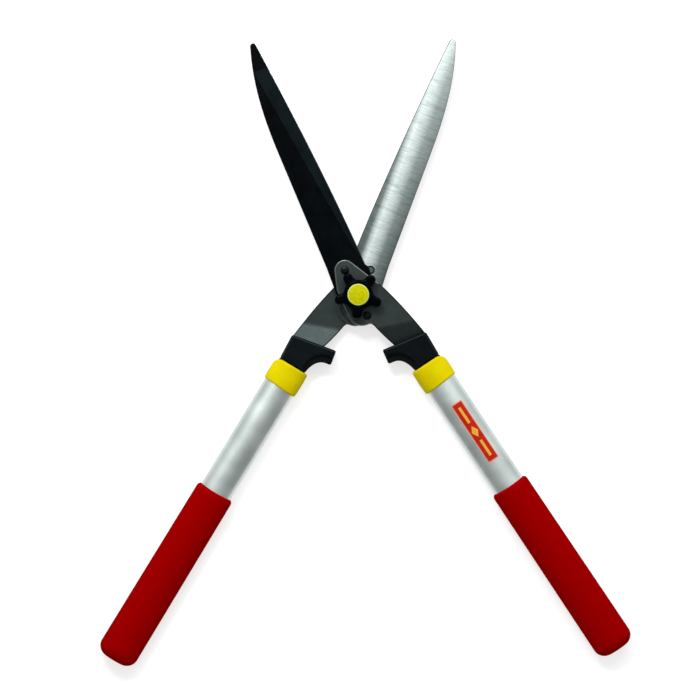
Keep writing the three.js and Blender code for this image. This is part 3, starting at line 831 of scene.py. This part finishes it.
def make_label():
    """A thin film wrapped over the top of the tube, with rounded corners."""
    corner = LABEL_CORNER
    across = 24
    lengthwise = 96
    rings = []
    for i in range(lengthwise + 1):
        s = LABEL_LENGTH * (i / lengthwise - 0.5)
        from_end = LABEL_LENGTH / 2 - abs(s)
        pinch = 0.0
        if from_end < corner:
            pinch = corner - sqrt(corner**2 - (corner - from_end) ** 2)
        half = LABEL_WIDTH / 2 - pinch
        loop = []
        for lift in (TOUCH_GAP, TOUCH_GAP + LABEL_THICKNESS):
            row = []
            for j in range(across + 1):
                x = LABEL_OFFSET + half * (2 * j / across - 1)
                z = TUBE_HEIGHT / 2 * sqrt(1 - (2 * x / TUBE_WIDTH) ** 2)
                row.append(Vector((x, -(LABEL_MIDDLE + s), z + lift)))
            loop += row if lift == TOUCH_GAP else reversed(row)
        rings.append(loop)
    label = loft("handle_label_finished", rings)
    return place(label, handle_frame("front"), "front_half", "label_film")


# ---- Pivot ----

LOBES = 5
FIRST_LOBE = radians(49)
LOBE_REACH = 18.0
LOBE_RADIUS = 4.7
VALLEY_PULL = 12.8
VALLEY_SPREAD = radians(17)
KNOB_HUB = 14.0
KNOB_ROUND = 2.6
INSERT_BORE = 7.7
INSERT_DEPTH = 8.1
CAP_DEPTH = 2.4
BOLT_BORE = 6.0
WASHER_BORE = 5.1
CAP_ROUND = 1.0
CAP_DOME = 0.9


def polar(radius, turn):
    return Vector((radius * cos(turn), radius * sin(turn), 0))


def star_outline():
    points = []
    step = 2 * pi / LOBES
    for i in range(LOBES):
        turn = FIRST_LOBE + i * step
        tip = polar(LOBE_REACH, turn)
        points += arc(tip.x, tip.y, LOBE_RADIUS, turn - pi / 2, turn + pi / 2, 16)
        valley = turn + step / 2
        following = turn + step
        target = polar(LOBE_REACH, following) + polar(LOBE_RADIUS, following - pi / 2)
        controls = [points[-1], polar(VALLEY_PULL, valley - VALLEY_SPREAD)]
        controls += [polar(VALLEY_PULL, valley + VALLEY_SPREAD), target]
        points += bezier(controls, 14)[:-1]
    return points


def extent(node):
    """Bottom, top and reach along X of a CAD node on the pivot, in millimetres."""
    low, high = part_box(node)
    return low.z / MM, high.z / MM, high.x / MM


def make_star_knob():
    bottom, top = extent("star_knob")[:2]
    knob = plate("star_knob_finished", star_outline(), top - 10, top - 1)
    soften(knob, KNOB_ROUND, 6)
    hub_profile = [
        (0, bottom),
        (KNOB_HUB - 1, bottom),
        (KNOB_HUB - 0.3, bottom + 0.3),
        (KNOB_HUB, bottom + 1),
        (KNOB_HUB, top - 1.9),
        (KNOB_HUB - 0.25, top - 1.0),
        (KNOB_HUB - 0.9, top - 0.3),
        (KNOB_HUB - 1.8, top),
        (0, top),
    ]
    hub = lathe("hub", hub_profile, 96)
    join(knob, hub)
    insert_bore = plate("bore", circle(0, 0, INSERT_BORE, 96), bottom - 1, bottom + INSERT_DEPTH + 1)
    cap_radius = extent("knob_cap")[2]
    cap_pocket = plate("pocket", circle(0, 0, cap_radius + TOUCH_GAP, 96), top - CAP_DEPTH, top + 1)
    bolt_bore = plate("bore", circle(0, 0, BOLT_BORE, 96), bottom - 1, top)
    cut(knob, insert_bore, cap_pocket, bolt_bore)
    return place(knob, Matrix.Scale(MM, 4), "tension_knob", "gloss_black_plastic")


def make_knob_cap():
    bottom, top, radius = extent("knob_cap")
    rim = top - (CAP_DOME + CAP_ROUND)
    profile = [(0, bottom), (radius - 0.4, bottom), (radius, bottom + 0.4), (radius, rim)]
    for i in range(1, 7):
        turn = pi / 2 * i / 6
        profile.append((radius - CAP_ROUND * (1 - cos(turn)), rim + CAP_ROUND * sin(turn)))
    for i in range(1, 8):
        share = i / 8
        dome = CAP_DOME * sin(pi / 2 * share)
        profile.append(((radius - CAP_ROUND) * (1 - share), top - CAP_DOME + dome))
    profile.append((0, top))
    cap = lathe("knob_cap_finished", profile, 96)
    give(cap, MATERIALS["cap_yellow"])
    return place(cap, Matrix.Scale(MM, 4), "tension_knob", "yellow_plastic")


def make_washer(node, body, slot):
    """A round sleeve or washer on the bolt, as tall and as wide as its CAD node."""
    bottom, top, radius = extent(node)
    washer = ring(node + "_finished", radius, WASHER_BORE, bottom, top, 0.3)
    return place(washer, Matrix.Scale(MM, 4), body, slot)


def refined(node, body, slot, width=0.25):
    """A copy of a CAD node with its flat faces merged and its sharp edges rounded."""
    piece = add_object(node + "_finished", frame["nodes"][node].data.copy())
    piece.data.materials.clear()
    mesh = bmesh.new()
    mesh.from_mesh(piece.data)
    bmesh.ops.remove_doubles(mesh, verts=mesh.verts, dist=0.005 * MM)
    flat = radians(1)
    bmesh.ops.dissolve_limit(mesh, angle_limit=flat, verts=mesh.verts, edges=mesh.edges)
    mesh.to_mesh(piece.data)
    mesh.free()
    piece.data.transform(Matrix.Scale(1 / MM, 4))
    soften(piece, width, 3, 40, clamped=True)
    return place(piece, Matrix.Scale(MM, 4), body, slot)


# ---- Materials ----

NOISE_LOW = 0.3  # most of the noise's values lie between these two
NOISE_HIGH = 0.7


def srgb(red, green, blue):
    """A colour given as it looks on screen, 0 to 255, as the shader's linear one."""

    def linear(value):
        share = value / 255
        return share / 12.92 if share < 0.04045 else ((share + 0.055) / 1.055) ** 2.4

    return (linear(red), linear(green), linear(blue), 1.0)


class Nodes:
    """Short ways to add and fill the shader nodes of one material or of the sky."""

    def __init__(self, owner, shader):
        self.owner = owner
        owner.use_nodes = True
        self.tree = owner.node_tree
        self.shader = self.tree.nodes[shader]

    def feed(self, socket, value):
        """Links another node's output to a socket, or gives it a plain value."""
        if isinstance(value, bpy.types.NodeSocket):
            self.tree.links.new(value, socket)
        else:
            socket.default_value = value

    def fill(self, node, inputs):
        for name, value in inputs.items():
            self.feed(node.inputs[name.replace("_", " ")], value)
        return node

    def set(self, **inputs):
        self.fill(self.shader, inputs)

    def add(self, kind, **inputs):
        return self.fill(self.tree.nodes.new(kind), inputs)

    def compute(self, kind, operation, *values):
        """A node of plain or vector arithmetic."""
        node = self.add(kind)
        node.operation = operation
        for socket, value in zip(node.inputs, values):
            self.feed(socket, value)
        return node

    def math(self, operation, *values):
        return self.compute("ShaderNodeMath", operation, *values).outputs[0]

    def stretched(self, where, scale):
        return self.compute("ShaderNodeVectorMath", "MULTIPLY", where, scale).outputs[0]

    def mapped(self, turn, scale=(1, 1, 1), shift=(0, 0, 0)):
        """Coordinates in the row frame, scaled, turned about Z and shifted."""
        start = self.add("ShaderNodeTexCoord").outputs["Object"]
        change = {"Scale": scale, "Rotation": (0, 0, turn), "Location": shift}
        return self.add("ShaderNodeMapping", Vector=start, **change).outputs["Vector"]

    def place(self, turn=0.0, scale=None):
        """Coordinates in the row frame, turned about Z and then, if asked, stretched."""
        where = self.mapped(turn)
        return self.stretched(where, scale) if scale else where

    def in_frame(self, side, turn, origin=(0.0, 0.0, 0.0)):
        """X and Y in a half's or a handle's own frame, which is turned and may start elsewhere."""
        flip = (1 if side == "front" else -1, 1, 1)
        where = self.mapped(-turn, flip, [-value for value in origin])
        parts = self.add("ShaderNodeSeparateXYZ", Vector=where)
        return parts.outputs["X"], parts.outputs["Y"]

    def map_range(self, value, from_low, from_high, low=0.0, high=1.0):
        limits = {"From_Min": from_low, "From_Max": from_high, "To_Min": low, "To_Max": high}
        return self.add("ShaderNodeMapRange", Value=value, **limits).outputs["Result"]

    def share(self, value, low, high):
        """How far a length lies from low to high, in millimetres, as 0 to 1."""
        return self.map_range(value, low * MM, high * MM)

    def noise(self, where, scale, detail=3.0, roughness=0.5):
        look = {"Scale": scale, "Detail": detail, "Roughness": roughness}
        return self.add("ShaderNodeTexNoise", Vector=where, **look).outputs["Fac"]

    def ramp(self, value, *stops):
        """Stops are (position, colour)."""
        node = self.add("ShaderNodeValToRGB", Fac=value)
        elements = node.color_ramp.elements
        while len(elements) < len(stops):
            elements.new(0.5)
        for element, (position, colour) in zip(elements, stops):
            element.position = position
            element.color = colour
        return node.outputs["Color"]

    def blend(self, noise, first, second):
        """From one colour to the other over the noise's usual values."""
        return self.ramp(noise, (NOISE_LOW, first), (NOISE_HIGH, second))

    def span(self, noise, low, high):
        """From low to high over the noise's usual values."""
        return self.map_range(noise, NOISE_LOW, NOISE_HIGH, low, high)

    def mix(self, share, first, second, blend="MIX"):
        node = self.add("ShaderNodeMix")
        node.data_type = "RGBA"
        node.blend_type = blend
        for index, value in ((0, share), (6, first), (7, second)):
            self.feed(node.inputs[index], value)
        return node.outputs[2]

    def bump(self, height, strength, distance, **below):
        """A relief; below is another relief's Normal, which it adds to."""
        relief = {"Height": height, "Strength": strength, "Distance": distance}
        return self.add("ShaderNodeBump", **relief, **below).outputs["Normal"]


def new_material(name):
    return Nodes(bpy.data.materials.new(name), "Principled BSDF")


def coating(name, dark, light):
    """Satin non-stick coating with a fine orange-peel skin."""
    n = new_material(name)
    n.set(Metallic=0.0, Specular_IOR_Level=0.02)
    where = n.place()
    patches = n.noise(where, 45, 4, 0.6)
    n.set(Base_Color=n.blend(patches, dark, light))
    n.set(Roughness=n.span(patches, 0.34, 0.5))
    n.set(Normal=n.bump(n.noise(where, 1400, 2), 0.12, 0.00005))
    return n.owner


def grey(share):
    return (share, share, share, 1.0)


def steel_grey(level):
    """Steel's slightly cool grey."""
    return srgb(level, level + 12, level + 10)


def ground_steel(name, side):
    """Steel ground across the blade: fine lines across it, over a painted reflection, a light band
    painted into the colour that is lightest near the cutting edge, darker towards both sides and lighter
    towards the tip."""
    n = new_material(name)
    n.set(Metallic=1.0)
    turn = open_angle(side)
    where = n.place(turn if side == "rear" else -turn)
    x, y = n.in_frame(side, turn)
    # painted reflection: a light band across the blade and a lightening towards the tip, painted into the
    # colour
    levels = ((0.0, 84), (0.28, 124), (0.48, 198), (0.65, 228), (0.74, 188), (0.82, 108), (0.89, 92))
    reflection_band = n.ramp(n.share(x, -17, 17), *[(share, steel_grey(level)) for share, level in levels])
    reflection_to_tip = n.math("MULTIPLY", n.share(y, 40, 250), 0.36)
    base = n.mix(reflection_to_tip, reflection_band, steel_grey(200))
    streaks = n.noise(n.stretched(where, (1.0, 9.0, 1.0)), 26, 5, 0.65)
    lines = n.noise(n.stretched(where, (1.0, 30.0, 1.0)), 120, 3, 0.6)
    deep = n.noise(n.stretched(where, (0.5, 11.0, 1.0)), 34, 4, 0.7)
    broad = n.ramp(streaks, (0.3, grey(0.66)), (0.6, grey(1)))
    fine = n.ramp(lines, (0.35, grey(0.52)), (0.6, grey(1)))
    marks = n.ramp(deep, (0.56, grey(1)), (0.62, grey(0.55)), (0.68, grey(0.95)))
    streaks_and_reflection = n.mix(0.7, n.mix(0.6, base, broad, "MULTIPLY"), fine, "MULTIPLY")
    n.set(Base_Color=n.mix(0.55, streaks_and_reflection, marks, "MULTIPLY"))
    n.set(Roughness=n.span(streaks, 0.46, 0.3))
    n.set(Normal=n.bump(lines, 0.3, 0.00015))
    return n.owner


def satin_steel(name):
    """Grey phosphated plate with a fine grain and faint clouds."""
    n = new_material(name)
    n.set(Metallic=1.0)
    where = n.place()
    clouds = n.noise(where, 55, 4, 0.55)
    n.set(Base_Color=n.blend(clouds, srgb(48, 55, 55), srgb(56, 63, 62)))
    n.set(Roughness=n.span(n.noise(where, 500, 3), 0.36, 0.48))
    n.set(Normal=n.bump(n.noise(where, 2200, 2), 0.15, 0.00004))
    return n.owner


def plain_metal(name, colour, low, high):
    """Bare metal with faint clouds, smoother where it is lighter."""
    n = new_material(name)
    n.set(Metallic=1.0)
    where = n.place()
    clouds = n.noise(where, 180, 4, 0.6)
    darker = tuple(c * 0.72 for c in colour[:3]) + (1.0,)
    n.set(Base_Color=n.ramp(clouds, (0.3, darker), (0.65, colour)))
    n.set(Roughness=n.span(clouds, high, low))
    n.set(Normal=n.bump(n.noise(where, 1800, 2), 0.1, 0.00004))
    return n.owner


def aluminium(name, turn):
    """Satin anodised tube, with fine draw lines along it."""
    n = new_material(name)
    n.set(Metallic=1.0)
    lines = n.noise(n.place(turn, (40.0, 1.0, 40.0)), 60, 3, 0.6)
    clouds = n.noise(n.place(turn), 30, 3, 0.5)
    base = n.blend(clouds, srgb(190, 200, 197), srgb(210, 219, 216))
    fine = n.ramp(lines, (0.35, grey(0.86)), (0.6, grey(1)))
    n.set(Base_Color=n.mix(0.5, base, fine, "MULTIPLY"))
    n.set(Roughness=n.span(clouds, 0.34, 0.44))
    n.set(Normal=n.bump(lines, 0.12, 0.00005))
    return n.owner


def moulded(name, dark, light, low, high, specular, grain_scale, grain):
    """Moulded plastic: faint colour clouds, uneven gloss and a fine grain."""
    n = new_material(name)
    n.set(Metallic=0.0, Specular_IOR_Level=specular)
    where = n.place()
    clouds = n.noise(where, 60, 4, 0.6)
    n.set(Base_Color=n.blend(clouds, dark, light))
    n.set(Roughness=n.span(clouds, low, high))
    n.set(Normal=n.bump(n.noise(where, grain_scale, 3), grain, 0.00008))
    return n.owner


def gloss_black(name):
    """Polished black plastic with slight sink marks, so that its highlights wander."""
    n = new_material(name)
    n.set(Metallic=0.0, Specular_IOR_Level=0.02)
    where = n.place()
    clouds = n.noise(where, 90, 3)
    n.set(Base_Color=n.blend(clouds, srgb(0, 2, 4), srgb(1, 4, 6)))
    n.set(Roughness=n.span(clouds, 0.1, 0.16))
    n.set(Normal=n.bump(n.noise(where, 160, 2), 0.1, 0.0004))
    return n.owner


def red_rubber(name):
    """Soft matt foam rubber: pores, small dents and slight mottling."""
    n = new_material(name)
    n.set(Metallic=0.0, Specular_IOR_Level=0.0, Roughness=0.9)
    where = n.place()
    mottle = n.noise(where, 140, 5, 0.7)
    n.set(Base_Color=n.blend(mottle, srgb(130, 0, 0), srgb(139, 0, 0)))
    pores = n.bump(n.noise(where, 2600, 2), 0.2, 0.00008)
    n.set(Normal=n.bump(n.noise(where, 420, 4, 0.6), 0.08, 0.00015, Normal=pores))
    return n.owner


BORDER_AT_ENDS = 1.0
BORDER_AT_SIDES = 0.8
DIAMOND_HALF_LENGTH = 6.0
DIAMOND_HALF_WIDTH = 3.4
BAR_MIDDLE = 18.0
BAR_HALF_LENGTH = 8.5
BAR_HALF_WIDTH = 1.3


def label_film(name):
    """Deep red printed film with a pale border, a plain diamond and two plain bars."""
    n = new_material(name)
    n.set(Metallic=0.0, Specular_IOR_Level=0.1, Roughness=0.4)
    origin = Matrix.Rotation(-HANDLE_ANGLE, 3, "Z") @ HANDLE_START * MM
    x, y = n.in_frame("front", open_angle("front") + HANDLE_ANGLE, origin)
    along = n.math("ABSOLUTE", n.math("ADD", y, LABEL_MIDDLE * MM))
    across = n.math("ABSOLUTE", n.math("SUBTRACT", x, LABEL_OFFSET * MM))
    clouds = n.noise(n.place(), 200, 3)
    red = n.blend(clouds, srgb(158, 22, 10), srgb(172, 32, 16))
    past_end = n.math("GREATER_THAN", along, (LABEL_LENGTH / 2 - BORDER_AT_ENDS) * MM)
    past_side = n.math("GREATER_THAN", across, (LABEL_WIDTH / 2 - BORDER_AT_SIDES) * MM)
    border = n.math("MAXIMUM", past_end, past_side)
    slant_along = n.math("DIVIDE", along, DIAMOND_HALF_LENGTH * MM)
    slant_across = n.math("DIVIDE", across, DIAMOND_HALF_WIDTH * MM)
    diamond = n.math("LESS_THAN", n.math("ADD", slant_along, slant_across), 1.0)
    from_middle = n.math("ABSOLUTE", n.math("SUBTRACT", along, BAR_MIDDLE * MM))
    bar_length = n.math("LESS_THAN", from_middle, BAR_HALF_LENGTH * MM)
    bar = n.math("MULTIPLY", bar_length, n.math("LESS_THAN", across, BAR_HALF_WIDTH * MM))
    printed = n.mix(n.math("MAXIMUM", diamond, bar), red, srgb(206, 150, 46))
    n.set(Base_Color=n.mix(border, printed, srgb(206, 138, 112)))
    n.set(Normal=n.bump(n.noise(n.place(), 900, 2), 0.05, 0.00003))
    return n.owner


def yellow_cap(name):
    """Yellow knob cap: paler round its rim, with a coarse orange-peel skin."""
    n = new_material(name)
    n.set(Metallic=0.0, Specular_IOR_Level=0.04)
    where = n.place()
    out = n.compute("ShaderNodeVectorMath", "LENGTH", n.stretched(where, (1, 1, 0))).outputs["Value"]
    rim = n.share(out, 8.7, 9.3)
    clouds = n.noise(where, 420, 3, 0.6)
    face = n.blend(clouds, srgb(160, 156, 0), srgb(180, 181, 0))
    n.set(Base_Color=n.mix(rim, face, srgb(188, 194, 84)))
    n.set(Roughness=n.span(clouds, 0.4, 0.55))
    n.set(Normal=n.bump(n.noise(where, 700, 3), 0.35, 0.00012))
    return n.owner


def shared_materials():
    """Every material that isn't made for one side only: its name, then how it is made."""
    recipes = {
        "black_coating": (coating, srgb(0, 1, 2), srgb(3, 7, 9)),
        "bevel_coating": (coating, srgb(5, 11, 12), srgb(12, 21, 22)),
        "satin_steel": (satin_steel,),
        "dark_steel": (plain_metal, srgb(27, 32, 33), 0.25, 0.36),
        # painted highlight for the tang's rounded rim
        "rim_steel": (plain_metal, srgb(106, 115, 113), 0.3, 0.42),
        "rivet_end": (plain_metal, srgb(84, 93, 91), 0.35, 0.5),
        "bright_steel": (plain_metal, srgb(186, 190, 190), 0.25, 0.4),
        "brass": (plain_metal, srgb(190, 154, 78), 0.25, 0.4),
        "black_plastic": (moulded, srgb(2, 6, 8), srgb(8, 14, 16), 0.38, 0.5, 0.05, 900, 0.3),
        # painted highlight for the ferrule's rounded edge
        "edge_plastic": (moulded, srgb(28, 37, 39), srgb(38, 48, 50), 0.4, 0.5, 0.05, 900, 0.2),
        "gloss_black_plastic": (gloss_black,),
        "yellow_plastic": (moulded, srgb(189, 173, 0), srgb(201, 186, 0), 0.5, 0.65, 0.02, 700, 0.25),
        "cap_yellow": (yellow_cap,),
        "grey_plastic": (moulded, srgb(78, 80, 80), srgb(92, 95, 95), 0.5, 0.6, 0.3, 900, 0.2),
        "red_rubber": (red_rubber,),
        "label_film": (label_film,),
    }
    return {name: make(name, *values) for name, (make, *values) in recipes.items()}


def finish_blade(blade, side, ground):
    """Ground steel on the inner face and the bare cutting edge, lighter coating on the bevel, grey
    plate below the heel line, and coating on everything else."""
    coated = MATERIALS["black_coating"]
    give(blade, coated, ground, MATERIALS["satin_steel"], MATERIALS["bevel_coating"])
    to_half = half_frame(side).inverted()
    for face in blade.data.polygons:
        at = to_half @ face.center
        normal = (to_half.to_3x3() @ face.normal).normalized()
        on_edge = at.y > HEEL_Y and normal.z > 0.1 and at.x > edge_x(at.y) - BARE_EDGE
        if at.y < HEEL_LINE:
            face.material_index = 2
        elif normal.z < FLAT_INNER or on_edge:
            face.material_index = 1
        elif 0.1 < normal.z < -FLAT_INNER and at.x > bevel_x(at.y):
            face.material_index = 3


def finish_rivet(rivet, side, at):
    """The middle of the flush end is lighter; the rest is dark, and on the flush end the dark ring round
    that middle is painted shadow of the gap round the rivet.
    """
    give(rivet, MATERIALS["dark_steel"], MATERIALS["rivet_end"])
    to_half = half_frame(side).inverted()
    for face in rivet.data.polygons:
        middle = to_half @ face.center
        if middle.z < BLADE_INNER + 0.5 and (middle.xy - at.xy).length < RIVET_BRIGHT:
            face.material_index = 1


# ---- The shears ----

MATERIALS = shared_materials()


def build_half(side):
    finish_blade(make_blade(side), side, ground_steel(side + "_ground_steel", side))
    make_tang(side)
    for which, at in (("upper", UPPER_RIVET), ("lower", LOWER_RIVET)):
        finish_rivet(make_rivet(side, which, at), side, at)
    make_ferrule(side)
    refined(side + "_cross_pin", side + "_half", "bright_steel")
    make_collar(side)
    make_tube(side)
    make_end_plug(side)
    make_grip(side)


def build_pivot():
    refined("pivot_bolt", "rear_half", "bright_steel", 0.5)
    refined("rear_washer", "rear_half", "bright_steel")
    make_washer("pivot_bush", "front_half", "brass")
    make_washer("thrust_washer", "thrust_pack", "bright_steel")
    refined("wave_washer", "thrust_pack", "dark_steel", 0.1)
    make_star_knob()
    make_washer("knob_nut_insert", "tension_knob", "brass")
    make_knob_cap()


# ---- Studio and camera ----

FLOOR_HALF = 6.0
VIEW_WIDTH = 0.65625  # of the camera's picture at the pivot's height
CAMERA_LEAN = radians(-1.2)


def make_floor():
    """A pale light table: its own glow keeps the shadows faint."""
    floor = new_piece("studio_floor", square(FLOOR_HALF), [(0, 1, 2, 3)])
    n = new_material("studio_floor")
    n.set(Base_Color=grey(0.42), Roughness=0.9, Specular_IOR_Level=0.0)
    n.set(Emission_Color=grey(1), Emission_Strength=0.66)
    give(floor, n.owner)


def area_light(name, at, width, height, power):
    """A rectangular light, aimed at the middle of the table and hidden from the camera."""
    data = bpy.data.lights.new(name, "AREA")
    data.shape = "RECTANGLE"
    data.size = width
    data.size_y = height
    data.energy = power
    light = add_object(name, data)
    light.location = at
    light.rotation_euler = (-Vector(at)).to_track_quat("-Z", "Y").to_euler()
    light.visible_camera = False


def make_studio():
    """A white sky, brighter behind the blades and dimmer elsewhere, and two soft lights."""
    n = Nodes(bpy.data.worlds.new("studio"), "Background")
    direction = n.add("ShaderNodeTexCoord").outputs["Generated"]
    lean = n.compute("ShaderNodeVectorMath", "DOT_PRODUCT", direction, (0, 0.87, 0.5))
    strength = n.map_range(lean.outputs["Value"], 0.2, 0.7, 0.36, 0.86)
    strength.node.interpolation_type = "SMOOTHSTEP"
    n.set(Color=grey(1), Strength=strength)
    bpy.context.scene.world = n.owner
    area_light("soft_key", (0.0, 1.5, 1.7), 1.8, 1.2, 42)
    area_light("small_key", (-0.35, 0.8, 1.3), 0.16, 0.16, 7)


def make_camera():
    """Straight above the shears, as photographed, with the slight lean of the picture."""
    data = bpy.data.cameras.new("camera")
    data.lens = 120
    data.sensor_width = 36
    camera = add_object("camera", data)
    middle = pivot_point()
    distance = VIEW_WIDTH * data.lens / data.sensor_width
    camera.location = (-0.00876, -0.0512, middle.z + distance)
    camera.rotation_euler = (0, 0, CAMERA_LEAN)
    bpy.context.scene.camera = camera


for side in SIDES:
    build_half(side)
make_label()
build_pivot()
make_floor()
make_studio()
make_camera()
bpy.context.scene.view_settings.view_transform = "Standard"
